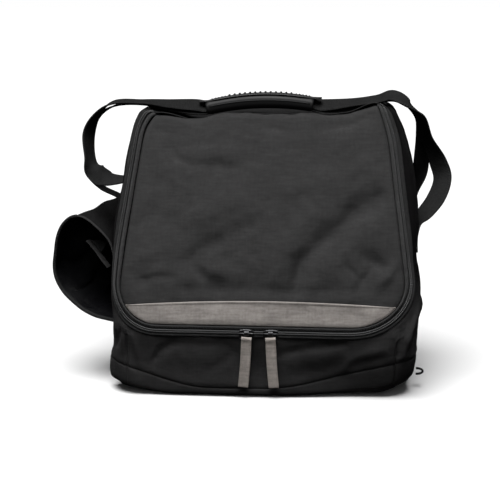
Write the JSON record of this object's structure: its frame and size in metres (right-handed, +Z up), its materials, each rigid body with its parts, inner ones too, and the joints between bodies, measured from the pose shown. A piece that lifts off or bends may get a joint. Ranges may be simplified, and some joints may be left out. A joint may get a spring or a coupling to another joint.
{
  "type": "soft carry bag for portable electronics",
  "caption": "Soft wedge-shaped carry bag with a zipped front flap, webbing handle with rubber grip, and an open side pouch.",
  "frame": {"origin": "middle of the bag's flat underside", "axes": "+Z up, +X to the right seen from the front, the flap faces -Y"},
  "size_m": [0.4912, 0.2327, 0.3564],
  "materials": {
    "nylon": "matt black woven nylon",
    "stiffener": "matt plastic board",
    "foam": "lined foam",
    "zip_tape": "herringbone zip tape",
    "zip_coil": "nylon coil",
    "piping": "ribbed charcoal edging",
    "canvas": "warm grey woven canvas",
    "slider_metal": "black lacquered",
    "pull_webbing": "warm grey webbing",
    "grip_rubber": "satin moulded rubber",
    "webbing": "black nylon webbing",
    "lining": "smooth coated lining",
    "binding": "black edge binding"
  },
  "bodies": {
    "bag": {"bottom_panel": "nylon", "base_band": "nylon", "floor_board": "stiffener", "front_wall": "nylon", "front_foam": "foam", "left_gusset": "nylon", "right_gusset": "nylon", "left_foam": "foam", "right_foam": "foam", "back_panel": "nylon", "back_board": "stiffener", "top_panel": "nylon", "body_zip_tape": "zip_tape", "body_zip_coil": "zip_coil", "front_webbing": "webbing", "rear_webbing": "webbing", "side_pouch": "lining", "pouch_binding": "binding", "side_loop": "binding"},
    "flap": {"flap_panel": "nylon", "flap_foam": "foam", "flap_trim": "canvas", "flap_piping": "piping", "flap_zip_tape": "zip_tape", "flap_zip_coil": "zip_coil"},
    "left_slider_body": {"left_slider": "slider_metal"},
    "right_slider_body": {"right_slider": "slider_metal"},
    "left_pull": {"left_pull_link": "slider_metal", "left_pull_tab": "pull_webbing"},
    "right_pull": {"right_pull_link": "slider_metal", "right_pull_tab": "pull_webbing"},
    "grip": {"grip_body": "grip_rubber", "grip_pad": "grip_rubber"}
  },
  "joints": [
    {"name": "flap_hinge", "type": "hinge", "parent": "bag", "child": "flap", "pos_m": [0, -0.001, 0.331], "axis": [-1, 0, 0], "range_deg": [0, 110]},
    {"name": "left_slider_run", "type": "slide", "parent": "flap", "child": "left_slider_body", "axis": [-1, 0, 0], "range_m": [-0.004, 0.105]},
    {"name": "right_slider_run", "type": "slide", "parent": "flap", "child": "right_slider_body", "axis": [1, 0, 0], "range_m": [-0.004, 0.105]},
    {"name": "left_pull_hinge", "type": "hinge", "parent": "left_slider_body", "child": "left_pull", "pos_m": [-0.0163, -0.12037, 0.08045], "axis": [-1, 0, 0], "range_deg": [0, 150]},
    {"name": "right_pull_hinge", "type": "hinge", "parent": "right_slider_body", "child": "right_pull", "pos_m": [0.0123, -0.12037, 0.08045], "axis": [-1, 0, 0], "range_deg": [0, 150]},
    {"name": "grip_lift", "type": "slide", "parent": "bag", "child": "grip", "axis": [0, 0, 1], "range_m": [0, 0.03], "deforming": ["front_webbing", "rear_webbing"]}
  ]
}
